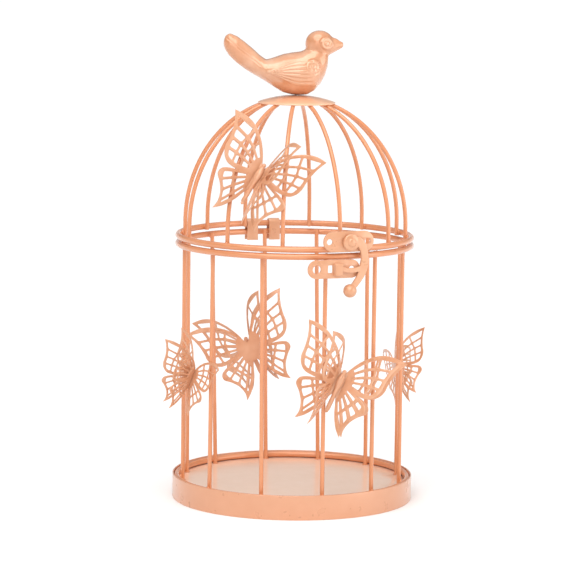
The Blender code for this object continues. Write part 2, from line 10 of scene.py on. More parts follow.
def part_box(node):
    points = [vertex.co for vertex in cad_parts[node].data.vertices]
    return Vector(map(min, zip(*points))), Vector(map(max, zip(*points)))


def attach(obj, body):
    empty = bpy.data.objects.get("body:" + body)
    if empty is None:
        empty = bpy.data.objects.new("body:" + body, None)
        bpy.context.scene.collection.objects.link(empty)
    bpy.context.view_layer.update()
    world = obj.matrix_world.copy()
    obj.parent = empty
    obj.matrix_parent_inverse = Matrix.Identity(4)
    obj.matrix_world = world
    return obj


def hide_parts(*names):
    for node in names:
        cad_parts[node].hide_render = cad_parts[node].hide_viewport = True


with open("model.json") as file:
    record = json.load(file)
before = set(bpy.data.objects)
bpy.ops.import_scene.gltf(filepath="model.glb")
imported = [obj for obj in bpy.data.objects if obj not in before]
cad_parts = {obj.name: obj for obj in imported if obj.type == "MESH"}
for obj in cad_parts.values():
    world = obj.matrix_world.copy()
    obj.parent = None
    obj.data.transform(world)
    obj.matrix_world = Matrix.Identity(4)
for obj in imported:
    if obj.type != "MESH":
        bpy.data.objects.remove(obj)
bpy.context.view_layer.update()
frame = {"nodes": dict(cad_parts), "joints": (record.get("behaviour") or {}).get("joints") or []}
print("frame loaded:", len(frame["nodes"]), "nodes")

mm = 0.001
barCount = 12
barStep = math.tau / barCount


# shader nodes, written as expressions
class Value:
    # one socket; arithmetic on it adds Math nodes to its material
    def __init__(self, paint, socket):
        self.paint = paint
        self.socket = socket

    def __add__(self, other):
        return self.paint.maths("ADD", self, other)

    def __radd__(self, other):
        return self.paint.maths("ADD", other, self)

    def __sub__(self, other):
        return self.paint.maths("SUBTRACT", self, other)

    def __rsub__(self, other):
        return self.paint.maths("SUBTRACT", other, self)

    def __mul__(self, other):
        return self.paint.maths("MULTIPLY", self, other)

    def __rmul__(self, other):
        return self.paint.maths("MULTIPLY", other, self)


class Paint:
    def __init__(self, name):
        self.material = bpy.data.materials.new(name)
        self.material.use_nodes = True
        self.tree = self.material.node_tree
        self.shader = self.tree.nodes["Principled BSDF"]
        self.place = self.node("ShaderNodeTexCoord", output="Object")

    def node(self, kind, settings=None, inputs=None, output=0):
        made = self.tree.nodes.new(kind)
        for key, value in (settings or {}).items():
            setattr(made, key, value)
        for key, value in (inputs or {}).items():
            self.feed(made.inputs[key], value)
        return Value(self, made.outputs[output])

    def feed(self, socket, value):
        if isinstance(value, Value):
            self.tree.links.new(value.socket, socket)
        else:
            socket.default_value = value

    def maths(self, operation, first, second):
        return self.node("ShaderNodeMath", {"operation": operation}, {0: first, 1: second})

    def noise(self, scale, detail, roughness=0.5):
        return self.node("ShaderNodeTexNoise", {"noise_dimensions": "3D"},
                         {"Vector": self.place, "Scale": scale, "Detail": detail,
                          "Roughness": roughness})

    def ramp(self, value, low, high):
        # 0 below low, 1 above high, smooth between
        return self.node("ShaderNodeMapRange", {"interpolation_type": "SMOOTHSTEP"},
                         {"Value": value, "From Min": low, "From Max": high})

    def mix(self, factor, first, second):
        return self.node("ShaderNodeMix", {"data_type": "RGBA"},
                         {0: factor, 6: first, 7: second}, output=2)

    def attribute(self, name):
        return self.node("ShaderNodeAttribute", {"attribute_name": name}, output="Fac")

    def bump(self, height, strength, distance):
        return self.node("ShaderNodeBump", {},
                         {"Height": height, "Strength": strength, "Distance": distance})

    def use(self, **inputs):
        names = {"colour": "Base Color", "roughness": "Roughness", "metallic": "Metallic",
                 "normal": "Normal", "coat": "Coat Weight", "coatRoughness": "Coat Roughness",
                 "specular": "Specular IOR Level"}
        for key, value in inputs.items():
            self.feed(self.shader.inputs[names[key]], value)
        return self.material


def rgb(red, green, blue):
    return (red, green, blue, 1)


# one sprayed lacquer, in the shades that each kind of part came out in under the lamps: lit and
# shaded copies, with the upward-facing floor and cap painted paler as painted light
lacquer = {
    "wire": {"colour": rgb(0.69, 0.265, 0.112), "deep": rgb(0.65, 0.235, 0.096),
             "pale": rgb(0.72, 0.29, 0.13), "roughness": 0.26, "coat": 0.7, "peel": 0.06},
    "tray": {"colour": rgb(0.66, 0.315, 0.178), "deep": rgb(0.63, 0.29, 0.158),
             "pale": rgb(0.68, 0.335, 0.195), "roughness": 0.28, "coat": 0.5, "peel": 0.04},
    # painted light: the floor disc faces the overhead light and is painted much paler than the
    # band of the same lacquer
    "floor": {"colour": rgb(0.96, 0.68, 0.51), "deep": rgb(0.95, 0.66, 0.49),
              "pale": rgb(0.97, 0.695, 0.53), "roughness": 0.24, "coat": 0.6, "peel": 0.015},
    # painted light: the cap on top is painted paler than the wires of the same lacquer
    "cap": {"colour": rgb(0.88, 0.49, 0.30), "deep": rgb(0.84, 0.44, 0.255),
            "pale": rgb(0.90, 0.53, 0.335), "roughness": 0.30, "coat": 0.4, "peel": 0.05},
    "bird": {"colour": rgb(0.66, 0.29, 0.14), "deep": rgb(0.48, 0.145, 0.050),
             "pale": rgb(0.75, 0.42, 0.26), "roughness": 0.20, "coat": 0.9, "peel": 0.05},
    "latch": {"colour": rgb(0.67, 0.32, 0.17), "deep": rgb(0.60, 0.25, 0.12),
              "pale": rgb(0.72, 0.38, 0.22), "roughness": 0.28, "coat": 0.6, "peel": 0.07},
    "butterfly": {"colour": rgb(0.66, 0.305, 0.158), "deep": rgb(0.50, 0.19, 0.085),
                  "pale": rgb(0.74, 0.40, 0.24), "roughness": 0.28, "coat": 0.6, "peel": 0.06},
}


def lacquerPaint(kind, relief=None):
    look = lacquer[kind]
    paint = Paint(kind + "Lacquer")
    clouds = paint.noise(38, 4)              # slow drift in how thick the spray lies
    flecks = paint.noise(150, 2)
    thin = paint.ramp(clouds * 0.7 + flecks * 0.3, 0.38, 0.66)
    colour = paint.mix(thin, look["colour"], look["pale"])
    pooled = paint.ramp(paint.noise(60, 2), 0.45, 0.85)
    colour = paint.mix(pooled * 0.25, colour, look["deep"])
    if relief:
        hollow = paint.attribute(relief)     # 0 in a groove, 1 on a ridge
        # painted shade darkens the grooves towards deep and a painted highlight lightens the
        # ridges towards pale
        grooveShade = 1 - paint.ramp(hollow, 0.05, 0.45)
        ridgeHighlight = paint.ramp(hollow, 0.6, 0.95)
        colour = paint.mix(grooveShade * 0.6, colour, look["deep"])
        colour = paint.mix(ridgeHighlight * 0.6, colour, look["pale"])
    roughness = look["roughness"] + 0.04 * (flecks - 0.5)
    peel = paint.noise(300, 2)               # orange peel of the spray
    height = peel * 0.8 + clouds * 0.4
    normal = paint.bump(height, look["peel"], 0.0003)
    return paint.use(colour=colour, roughness=roughness, normal=normal, metallic=0.12,
                     coat=look["coat"], coatRoughness=0.18)


def screwPaint():
    paint = Paint("screwSteel")
    turned = paint.noise(900, 4, 0.6)
    tarnish = paint.ramp(paint.noise(260, 4), 0.45, 0.7)
    colour = paint.mix(tarnish, rgb(0.60, 0.59, 0.57), rgb(0.44, 0.42, 0.40))
    normal = paint.bump(turned, 0.2, 0.0002)
    return paint.use(colour=colour, roughness=0.32 + 0.2 * tarnish, normal=normal,
                     metallic=1.0)


paints = {kind: lacquerPaint(kind) for kind in lacquer if kind != "bird"}
# the bird's relief lays painted shade in its grooves and a painted highlight on its ridges
paints["bird"] = lacquerPaint("bird", "relief")
paints["screw"] = screwPaint()
print("paints mixed:", len(paints))


# helpers that make the pieces
hinge = next(joint for joint in frame["joints"] if joint["name"] == "lid_hinge")
hingePoint = Vector(hinge["pos_m"])
lidSag = math.radians(0.438)
sagPlace = (Matrix.Translation(hingePoint) @ Matrix.Rotation(lidSag, 4, "X")
            @ Matrix.Translation(-hingePoint))


def aroundZ(radius, angle, height):
    # an angle is measured from -Y towards +X, as seen from above
    return Vector((radius * math.sin(angle), -radius * math.cos(angle), height))


def tangentFrame(angle, distance, height=0.0, aside=0.0):
    # a flat on the cage's side: x to the right, y up, z outwards
    right = Vector((math.cos(angle), math.sin(angle), 0))
    outward = aroundZ(1, angle, 0)
    place = Matrix((right, Vector((0, 0, 1)), outward)).transposed().to_4x4()
    place.translation = outward * distance + right * aside + Vector((0, 0, height))
    return place


def addMesh(name, mesh, kind, body, nodes, sharp=45):
    piece = bpy.data.objects.new(name, mesh)
    bpy.context.scene.collection.objects.link(piece)
    mesh.materials.clear()
    mesh.materials.append(paints[kind])
    mesh.shade_smooth()
    mesh.set_sharp_from_angle(angle=math.radians(sharp))
    if body == "lid" or body == "hook":
        mesh.transform(sagPlace)
    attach(piece, body)
    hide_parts(*nodes)
    return piece


def meshOf(work, name):
    bmesh.ops.remove_doubles(work, verts=work.verts, dist=1e-7)
    bmesh.ops.recalc_face_normals(work, faces=work.faces)
    mesh = bpy.data.meshes.new(name)
    work.to_mesh(mesh)
    work.free()
    return mesh


def roundedLoop(corners, radius, steps=3):
    # each corner of a closed outline becomes a small arc
    loop = []
    count = len(corners)
    for i, corner in enumerate(corners):
        here = Vector(corner)
        before = (Vector(corners[i - 1]) - here)
        after = (Vector(corners[(i + 1) % count]) - here)
        reach = min(radius, before.length * 0.45, after.length * 0.45)
        start = here + before.normalized() * reach
        end = here + after.normalized() * reach
        for k in range(steps + 1):
            t = k / steps
            loop.append(start * (1 - t) ** 2 + here * 2 * t * (1 - t) + end * t ** 2)
    return loop


def spun(work, loop, steps, closed=True):
    # a profile of (radius, height) turned about Z
    verts = [work.verts.new((point[0], 0, point[1])) for point in loop]
    pairs = zip(verts, verts[1:] + verts[:1]) if closed else zip(verts, verts[1:])
    edges = [work.edges.new(pair) for pair in pairs]
    bmesh.ops.spin(work, geom=verts + edges, cent=(0, 0, 0), axis=(0, 0, 1),
                   angle=math.tau, steps=steps, use_merge=True, use_duplicate=False)


def tube(work, points, radius, sides=16, roundEnds=True):
    # a circle drawn along a line of points, its ends closed with a small radius
    points = [Vector(point) for point in points]
    radii = [radius] * len(points)
    if roundEnds:
        ease = [(0.0, 0.55), (0.25, 0.86), (0.6, 0.98)]
        first, last = points[0], points[-1]
        ahead = (points[1] - first).normalized()
        back = (points[-2] - last).normalized()
        heads = [first + ahead * radius * 0.45 * along for along, size in ease]
        tails = [last + back * radius * 0.45 * along for along, size in ease][::-1]
        sizes = [radius * size for along, size in ease]
        points = heads + [first + ahead * radius * 0.45] + points[1:-1]
        points += [last + back * radius * 0.45] + tails
        radii = sizes + [radius] * (len(points) - 6) + sizes[::-1]
    side = Vector((1, 0, 0))
    if abs((points[1] - points[0]).normalized().x) > 0.9:
        side = Vector((0, 1, 0))
    ringEdges = None
    place = None
    for i, point in enumerate(points):
        ahead = points[min(i + 1, len(points) - 1)] - points[max(i - 1, 0)]
        ahead.normalize()
        across = (side - ahead * side.dot(ahead)).normalized()
        side = across
        up = ahead.cross(across)
        turn = Matrix((across, up, ahead)).transposed().to_4x4()
        newPlace = Matrix.Translation(point) @ turn @ Matrix.Diagonal((radii[i],) * 3 + (1,))
        if ringEdges is None:
            made = bmesh.ops.create_circle(work, segments=sides, radius=1, matrix=newPlace)
            ringEdges = list({edge for vert in made["verts"] for edge in vert.link_edges})
            work.faces.new(made["verts"])
        else:
            made = bmesh.ops.extrude_edge_only(work, edges=ringEdges)
            fresh = [item for item in made["geom"] if isinstance(item, bmesh.types.BMVert)]
            bmesh.ops.transform(work, matrix=newPlace @ place.inverted(), verts=fresh)
            ringEdges = [edge for edge in made["geom"] if isinstance(edge, bmesh.types.BMEdge)
                         and all(vert in fresh for vert in edge.verts)]
        place = newPlace
    bmesh.ops.contextual_create(work, geom=ringEdges)


def bead(work, place, size):
    # a small flattened drop of weld metal
    shape = place @ Matrix.Diagonal((*size, 1))
    bmesh.ops.create_uvsphere(work, u_segments=14, v_segments=9, radius=1, matrix=shape)


def flatCurveMesh(name, outlines, thickness, bevel, steps=2):
    # a plate on z = 0 .. thickness with rounded edges; holes follow the outline
    curve = bpy.data.curves.new(name, "CURVE")
    curve.dimensions = "2D"
    curve.fill_mode = "BOTH"
    curve.extrude = thickness / 2 - bevel
    curve.bevel_depth = bevel
    curve.bevel_resolution = steps
    curve.offset = -bevel
    for outline in outlines:
        spline = curve.splines.new("POLY")
        spline.points.add(len(outline) - 1)
        for target, point in zip(spline.points, outline):
            target.co = (point[0], point[1], 0, 1)
        spline.use_cyclic_u = True
    item = bpy.data.objects.new(name, curve)
    bpy.context.scene.collection.objects.link(item)
    bpy.context.view_layer.update()
    graph = bpy.context.evaluated_depsgraph_get()
    mesh = bpy.data.meshes.new_from_object(item.evaluated_get(graph))
    bpy.data.objects.remove(item)
    mesh.transform(Matrix.Translation((0, 0, thickness / 2)))
    return mesh


def workOf(mesh):
    work = bmesh.new()
    work.from_mesh(mesh)
    bmesh.ops.remove_doubles(work, verts=work.verts, dist=2e-6)
    return work


def arcPoints(centre, radius, start, end, steps):
    points = []
    for i in range(steps + 1):
        angle = math.radians(start + (end - start) * i / max(steps, 1))
        points.append(Vector((centre[0] + radius * math.cos(angle),
                              centre[1] + radius * math.sin(angle))))
    return points


def circlePoints(centre, radius, steps=28):
    return arcPoints(centre, radius, 0, 360 - 360 / steps, steps - 1)


def evaluated(work, name, modifiers):
    # runs modifiers on a bmesh and gives the finished mesh back as a new bmesh
    item = bpy.data.objects.new(name, meshOf(work, name))
    bpy.context.scene.collection.objects.link(item)
    for kind, settings in modifiers:
        modifier = item.modifiers.new(kind.lower(), kind)
        for key, value in settings.items():
            setattr(modifier, key, value)
    bpy.context.view_layer.update()
    graph = bpy.context.evaluated_depsgraph_get()
    mesh = bpy.data.meshes.new_from_object(item.evaluated_get(graph))
    bpy.data.objects.remove(item)
    fresh = bmesh.new()
    fresh.from_mesh(mesh)
    return fresh


# tray
tray = {"sheet": 0.8 * mm, "lip": 0.32 * mm, "steps": 192}


def buildTray():
    low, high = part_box("base_band")
    outer = high.x
    inner = outer - tray["sheet"]
    corners = [(outer, low.z), (outer, high.z), (inner, high.z), (inner, low.z)]
    work = bmesh.new()
    spun(work, roundedLoop(corners, tray["lip"]), tray["steps"])
    addMesh("trayBand", meshOf(work, "trayBand"), "tray", "cage", ["base_band"])

    low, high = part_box("floor_plate")
    edge = high.x + 0.2 * mm
    rings = [(0.0, high.z), (edge * 0.25, high.z), (edge * 0.5, high.z), (edge * 0.75, high.z),
             (edge - 0.3 * mm, high.z), (edge, high.z - 0.3 * mm), (edge, low.z),
             (edge * 0.5, low.z), (0.0, low.z)]
    work = bmesh.new()
    spun(work, rings, tray["steps"], closed=False)
    addMesh("trayFloor", meshOf(work, "trayFloor"), "floor", "cage", ["floor_plate"])


# rings and bars
wires = {"ringSteps": 192, "ringSides": 24, "barSides": 20, "ribSteps": 44,
         "uprightTurn": math.radians(-1.5), "ribTurn": math.radians(7.0),
         "domeSpring": 172.5 * mm, "domeRise": 78.2 * mm, "ribTopRadius": 19.5 * mm,
         "ribFoot": 163.4 * mm}
ringLow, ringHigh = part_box("base_ring")
ringWire = (ringHigh.z - ringLow.z) / 2
ringRadius = ringHigh.y - ringWire + 0.1 * mm
# how far the wires are welded from their even places, in degrees: each upright at its
# foot and its top, and each rib
uprightShifts = [(0.0, 0.3), (-0.7, -0.4), (0.0, 0.0), (0.0, 0.0), (0.8, 1.7), (0.3, 2.7),
                 (-1.1, 0.9), (0.5, 4.5), (0.0, 0.0), (-8.0, -6.0), (-2.5, -1.2), (-1.0, -1.7)]
ribShifts = [-0.8, 1.7, 0.0, -2.8, -2.5, -1.7, 3.8, 0.0, 0.0, -4.0, 0.0, 0.0]
barLow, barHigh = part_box("upright_03")
barWire = (barHigh.x - barLow.x) / 2
barRadius = math.hypot((barLow.x + barHigh.x) / 2, (barLow.y + barHigh.y) / 2)
lidRingHeight = hingePoint.z + 0.1 * mm


def wireRing(work, height):
    stand = Matrix.Translation((ringRadius, 0, height)) @ Matrix.Rotation(math.pi / 2, 4, "X")
    made = bmesh.ops.create_circle(work, segments=wires["ringSides"], radius=ringWire,
                                   matrix=stand)
    edges = list({edge for vert in made["verts"] for edge in vert.link_edges})
    bmesh.ops.spin(work, geom=made["verts"] + edges, cent=(0, 0, 0), axis=(0, 0, 1),
                   angle=math.tau, steps=wires["ringSteps"], use_merge=True,
                   use_duplicate=False)


def buildRings():
    for node, body in (("base_ring", "cage"), ("body_ring", "cage"), ("lid_ring", "lid")):
        low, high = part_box(node)
        height = (low.z + high.z) / 2 if body == "cage" else lidRingHeight
        work = bmesh.new()
        wireRing(work, height)
        addMesh(node + "Wire", meshOf(work, node), "wire", body, [node])


def weldAt(work, angle, height, tall=2.1):
    # where a bar lies against the inside of a ring
    touch = (barRadius + barWire + ringRadius - ringWire) / 2
    place = tangentFrame(angle, touch - 0.15 * mm, height)
    bead(work, place, (1.55 * mm, tall * mm, 1.0 * mm))


def buildUprights():
    low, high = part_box("upright_03")
    ringHeight = sum(corner.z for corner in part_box("body_ring")) / 2
    baseHeight = sum(corner.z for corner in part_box("base_ring")) / 2
    for i in range(barCount):
        angle = wires["uprightTurn"] + barStep * i
        footAngle, topAngle = (angle + math.radians(shift) for shift in uprightShifts[i])
        work = bmesh.new()
        foot = aroundZ(barRadius, footAngle, low.z - 0.15 * mm)
        top = aroundZ(barRadius, topAngle, high.z)
        tube(work, [foot, foot.lerp(top, 0.5), top], barWire, wires["barSides"])
        weldAt(work, topAngle, ringHeight - 0.1 * mm)
        weldAt(work, footAngle, baseHeight + 0.3 * mm, 1.7)
        bead(work, Matrix.Translation(aroundZ(barRadius, footAngle, low.z)),
             (2.0 * mm, 2.0 * mm, 0.5 * mm))
        name = f"upright_{i + 1:02d}"
        addMesh(name + "Bar", meshOf(work, name), "wire", "cage", [name])


def ribLine(angle):
    last = math.acos(wires["ribTopRadius"] / barRadius)
    points = [aroundZ(barRadius, angle, wires["ribFoot"])]
    for k in range(1, 5):
        height = wires["ribFoot"] + (wires["domeSpring"] - wires["ribFoot"]) * k / 5
        points.append(aroundZ(barRadius, angle, height))
    for k in range(wires["ribSteps"] + 1):
        turn = last * k / wires["ribSteps"]
        height = wires["domeSpring"] + wires["domeRise"] * math.sin(turn)
        points.append(aroundZ(barRadius * math.cos(turn), angle, height))
    return points


def buildRibs():
    for i in range(barCount):
        angle = wires["ribTurn"] + barStep * i + math.radians(ribShifts[i])
        work = bmesh.new()
        tube(work, ribLine(angle), barWire, wires["barSides"])
        weldAt(work, angle, lidRingHeight + 0.2 * mm)
        name = f"dome_rib_{i + 1:02d}"
        addMesh(name + "Wire", meshOf(work, name), "wire", "lid", [name])


# crown cap
cap = {"radius": 24.0 * mm, "edge": 248.3 * mm, "rise": 4.2 * mm, "hole": 1.7 * mm,
       "sheet": 0.8 * mm, "rings": 14, "steps": 96}


def buildCap():
    sphere = (cap["radius"] ** 2 + cap["rise"] ** 2) / (2 * cap["rise"])
    outside = []
    inside = []
    for k in range(cap["rings"] + 1):
        radius = cap["hole"] + (cap["radius"] - cap["hole"]) * k / cap["rings"]
        top = cap["edge"] + cap["rise"] - sphere + math.sqrt(sphere ** 2 - radius ** 2)
        outside.append((radius, top))
        inside.append((radius, top - cap["sheet"]))
    lip = cap["edge"] - cap["sheet"] / 2
    outside[-1] = (cap["radius"] - 0.12 * mm, outside[-1][1])
    inside[-1] = (cap["radius"] - 0.12 * mm, inside[-1][1])
    edge = [(cap["radius"], lip + 0.2 * mm), (cap["radius"], lip - 0.2 * mm)]
    work = bmesh.new()
    spun(work, outside + edge + inside[::-1], cap["steps"])
    addMesh("crownCap", meshOf(work, "crownCap"), "cap", "lid", ["crown_cap"])


# hinge straps
strap = {"offset": 7.35 * mm, "width": 7.2 * mm, "inner": 2.4 * mm, "sheet": 0.8 * mm,
         "foot": 154.5 * mm, "edge": 0.18 * mm}


def buildStraps():
    outer = strap["inner"] + strap["sheet"]
    crown = hingePoint.z - strap["foot"]
    outline = [(outer, 0), (outer, crown * 0.5), (outer, crown)]
    outline += arcPoints((0, crown), outer, 7.5, 172.5, 22)
    outline += [(-outer, crown), (-outer, crown * 0.5), (-outer, 0), (-strap["inner"], 0),
                (-strap["inner"], crown)]
    outline += arcPoints((0, crown), strap["inner"], 172.5, 7.5, 22)
    outline += [(strap["inner"], crown), (strap["inner"], 0)]
    acrossX = Matrix(((0, 0, 1, 0), (1, 0, 0, 0), (0, 1, 0, 0), (0, 0, 0, 1)))
    for side, node in ((-1, "hinge_strap_left"), (1, "hinge_strap_right")):
        mesh = flatCurveMesh(node, [outline], strap["width"], strap["edge"])
        edge = side * strap["offset"] - strap["width"] / 2
        mesh.transform(Matrix.Translation((edge, hingePoint.y, strap["foot"])) @ acrossX)
        addMesh(node + "Sheet", meshOf(workOf(mesh), node), "latch", "cage", [node],
                30)


# latch
latch = {"turn": math.radians(5.0), "back": 74.25 * mm, "sheet": 1.2 * mm,
         "edge": 0.32 * mm, "length": 32.6 * mm, "plateCentre": (4.4 * mm, 169.9 * mm),
         "plateHeight": 12.4 * mm, "holeReach": 12.3 * mm, "plateHole": 1.8 * mm,
         "catchCentre": (-4.9 * mm, 152.5 * mm), "catchLength": 33.6 * mm,
         "catchHeight": 11.2 * mm, "catchHole": (-15.9 * mm, 2.6 * mm),
         "window": (-8.7 * mm, -5.8 * mm, 2.3 * mm), "rightHole": (6.6 * mm, 1.7 * mm),
         "bridge": (-5.2 * mm, -0.4 * mm), "bridgeReach": 3.9 * mm, "bridgeWall": 0.7 * mm,
         "bridgeDrop": 0.2 * mm, "bridgeTop": 78.9 * mm,
         "pivot": (5.4 * mm, 169.5 * mm), "hole": 2.15 * mm, "gap": 0.35 * mm,
         "hookThickness": 2.2 * mm, "rivetHead": 2.6 * mm, "rivetShank": 1.9 * mm,
         "rivetFoot": -0.6 * mm}

# the rivet's domed head: share of its radius and millimetres above its edge
rivetDome = [(0, 1.0), (0.3, 0.96), (0.6, 0.82), (0.85, 0.52), (0.98, 0.2), (1.0, 0)]
latchPlace = tangentFrame(latch["turn"], latch["back"])


def ovalOutline(centre, length, height, steps=20):
    radius = height / 2
    reach = length / 2 - radius
    x, y = centre
    return (arcPoints((x + reach, y), radius, -90, 90, steps)
            + arcPoints((x - reach, y), radius, 90, 270, steps))


def buildLatchPlate():
    x, y = latch["plateCentre"]
    reach = latch["holeReach"]
    outlines = [ovalOutline((x, y), latch["length"], latch["plateHeight"]),
                circlePoints((x - reach, y), latch["plateHole"]),
                circlePoints((x + reach, y), latch["plateHole"]),
                circlePoints(latch["pivot"], latch["hole"])]
    mesh = flatCurveMesh("latchPlate", outlines, latch["sheet"], latch["edge"])
    mesh.transform(latchPlace)
    addMesh("latchPlate", meshOf(workOf(mesh), "latchPlate"), "latch", "lid",
            ["latch_plate"], 30)


def keeperWork(middle):
    # a pressed box on the plate, open to the right for the prong
    left, right = latch["bridge"]
    reach = latch["bridgeReach"]
    rise = latch["bridgeTop"] - latch["back"]
    foot = latch["sheet"] * 0.4
    size = Matrix.Diagonal((right - left, reach * 2, rise - foot, 1))
    place = Matrix.Translation(((left + right) / 2, middle, (rise + foot) / 2)) @ size
    work = bmesh.new()
    bmesh.ops.create_cube(work, size=1, matrix=place)
    rounded = [e for e in work.edges if min(v.co.x for v in e.verts) < right - 0.1 * mm
               and max(v.co.z for v in e.verts) > rise - 0.1 * mm]
    bmesh.ops.bevel(work, geom=rounded, offset=1.0 * mm, segments=5, affect="EDGES",
                    profile=0.5, material=-1)
    mouth = [f for f in work.faces if f.normal.x > 0.9]
    wall = latch["bridgeWall"]
    bmesh.ops.inset_region(work, faces=mouth, thickness=wall, use_even_offset=True)
    made = bmesh.ops.extrude_discrete_faces(work, faces=mouth)
    pushed = {vert for face in made["faces"] for vert in face.verts}
    bmesh.ops.translate(work, verts=list(pushed), vec=(left - right + wall, 0, 0))
    return work


def buildCatchPlate():
    x, y = latch["catchCentre"]
    left, right, half = latch["window"]
    window = [(left, y - half), (right, y - half), (right, y + half), (left, y + half)]
    outlines = [ovalOutline((x, y), latch["catchLength"], latch["catchHeight"]),
                circlePoints((latch["catchHole"][0], y), latch["catchHole"][1]),
                roundedLoop(window, 0.5 * mm),
                circlePoints((latch["rightHole"][0], y), latch["rightHole"][1])]
    plate = workOf(flatCurveMesh("catchPlate", outlines, latch["sheet"], latch["edge"]))
    keeper = meshOf(keeperWork(y - latch["bridgeDrop"]), "catchKeeper")
    plate.from_mesh(keeper)
    mesh = meshOf(plate, "catchPlate")
    mesh.transform(latchPlace)
    addMesh("catchPlate", mesh, "latch", "cage", ["catch_plate"], 30)


# the arm in millimetres from the pivot: across, up and its width there
hookShape = {"arm": [(3.0, 1.6, 5.4), (6.2, -1.0, 5.2), (8.1, -5.0, 4.7), (8.7, -9.5, 4.6),
                     (8.4, -13.6, 5.2), (7.2, -18.0, 4.8), (5.0, -22.2, 4.1),
                     (2.0, -26.2, 3.6)],
             "hub": 5.2, "ball": (-0.4, -29.1), "ballSize": 4.1, "prongRadius": 16.8,
             "prongWidth": 2.9, "prongRoot": -64, "prongTip": (-117, -121, -119),
             "edge": 0.5, "voxel": 0.24}


def catmull(p, t):
    # a point between p[1] and p[2] on a smooth line through all four
    return (2 * p[1] + (p[2] - p[0]) * t + (2 * p[0] - 5 * p[1] + 4 * p[2] - p[3]) * t ** 2
            + (3 * p[1] - p[0] - 3 * p[2] + p[3]) * t ** 3) / 2


def ribbonOutline(middle, widths, steps=8):
    # a smooth band of changing width along a line of points
    line = []
    count = len(middle)
    for i in range(count - 1):
        p = [Vector(middle[max(0, min(count - 1, i + k))]) for k in (-1, 0, 1, 2)]
        for k in range(steps):
            t = k / steps
            line.append((catmull(p, t), widths[i] + (widths[i + 1] - widths[i]) * t))
    line.append((Vector(middle[-1]), widths[-1]))
    left = []
    right = []
    for i, (point, width) in enumerate(line):
        ahead = line[min(i + 1, len(line) - 1)][0] - line[max(i - 1, 0)][0]
        ahead.normalize()
        side = Vector((-ahead.y, ahead.x)) * width / 2
        left.append(point - side)
        right.append(point + side)
    return left + right[::-1]


def buildHook():
    x, y = latch["pivot"]
    thick = latch["hookThickness"]
    lift = latch["sheet"] + latch["gap"]
    shape = hookShape
    middle = [point[:2] for point in shape["arm"]]
    widths = [point[2] for point in shape["arm"]]
    arm = [point * mm for point in ribbonOutline(middle, widths)]
    outer = shape["prongRadius"] + shape["prongWidth"] / 2
    inner = shape["prongRadius"] - shape["prongWidth"] / 2
    root = shape["prongRoot"]
    outerTip, tip, innerTip = shape["prongTip"]
    prong = [p * mm for p in arcPoints((0, 0), outer, root, outerTip, 16)
             + arcPoints((0, 0), shape["prongRadius"], tip, tip, 0)
             + arcPoints((0, 0), inner, innerTip, root, 16)]
    work = bmesh.new()
    for name, outline in (("arm", arm), ("prong", prong)):
        work.from_mesh(flatCurveMesh(name, [outline], thick, shape["edge"] * mm, 3))
    hub = [(0, thick + 0.35 * mm), (shape["hub"] * 0.55 * mm, thick + 0.3 * mm),
           (shape["hub"] * 0.9 * mm, thick - 0.1 * mm), (shape["hub"] * mm, thick - 0.7 * mm),
           (shape["hub"] * mm, 0.4 * mm), ((shape["hub"] - 0.4) * mm, 0), (0, 0)]
    spun(work, hub, 48, closed=False)
    ball = Vector((*shape["ball"], 0)) * mm + Vector((0, 0, thick / 2))
    bmesh.ops.create_uvsphere(work, u_segments=32, v_segments=20,
                              radius=shape["ballSize"] * mm, matrix=Matrix.Translation(ball))
    remesh = {"mode": "VOXEL", "voxel_size": shape["voxel"] * mm, "adaptivity": 0.0}
    work = evaluated(work, "hookCast", [("REMESH", remesh)])
    for _ in range(5):
        bmesh.ops.smooth_vert(work, verts=work.verts, factor=0.5, use_axis_x=True,
                              use_axis_y=True, use_axis_z=True)
    for vert in work.verts:
        vert.co.z = max(vert.co.z, 0.02 * mm) if vert.co.xy.length < 16 * mm else vert.co.z
    bmesh.ops.transform(work, matrix=Matrix.Translation((x, y, lift)), verts=work.verts)
    mesh = meshOf(work, "latchHook")
    mesh.transform(latchPlace)
    addMesh("latchHook", mesh, "latch", "hook", ["latch_hook"], 60)


def buildRivet():
    x, y = latch["pivot"]
    top = latch["sheet"] + latch["gap"] + latch["hookThickness"] + 0.25 * mm
    shank = latch["rivetShank"]
    foot = latch["rivetFoot"]
    profile = [(latch["rivetHead"] * share, top + rise * mm) for share, rise in rivetDome]
    profile += [(shank, top - 0.05 * mm), (shank, foot), (0, foot)]
    work = bmesh.new()
    spun(work, profile, 48, closed=False)
    mesh = meshOf(work, "hookRivet")
    mesh.transform(latchPlace @ Matrix.Translation((x, y, 0)))
    addMesh("hookRivet", mesh, "latch", "lid", ["hook_rivet"])


# butterflies
# half of a wing sheet in millimetres, x across from the middle line and y towards the head
wing = {"outline": [(0.0, 5.2), (1.5, 6.6), (5.2, 13.2), (10.6, 19.6), (18.6, 25.2),
                    (26.8, 27.6), (34.6, 27.3), (31.8, 22.0), (30.0, 16.2), (29.2, 10.4),
                    (29.0, 6.0), (27.0, 1.6), (22.4, -1.9), (14.0, -2.6), (19.4, -4.0),
                    (23.8, -6.4), (24.6, -10.4), (20.4, -14.6), (17.0, -19.4),
                    (15.4, -25.0), (16.2, -29.8), (11.0, -25.6), (6.4, -19.0),
                    (3.2, -11.6), (1.4, -8.0), (0.0, -8.0)],
        "corners": (0, 6, 13, 20, 25), "sheet": 0.5 * mm, "edge": 0.16 * mm,
        "foldLine": 2.8, "web": 1.45, "slice": 2.4, "corner": 1.1, "reach": 32,
        "slicesAlong": (-12, 12), "slicesAcross": 14,
        "backCup": math.radians(-9), "frontCup": math.radians(12),
        "backFold": 4.0, "frontFold": 46.0,
        "backLayer": 0.2 * mm, "frontLayer": 1.0 * mm, "bodyLayer": 2.0 * mm}

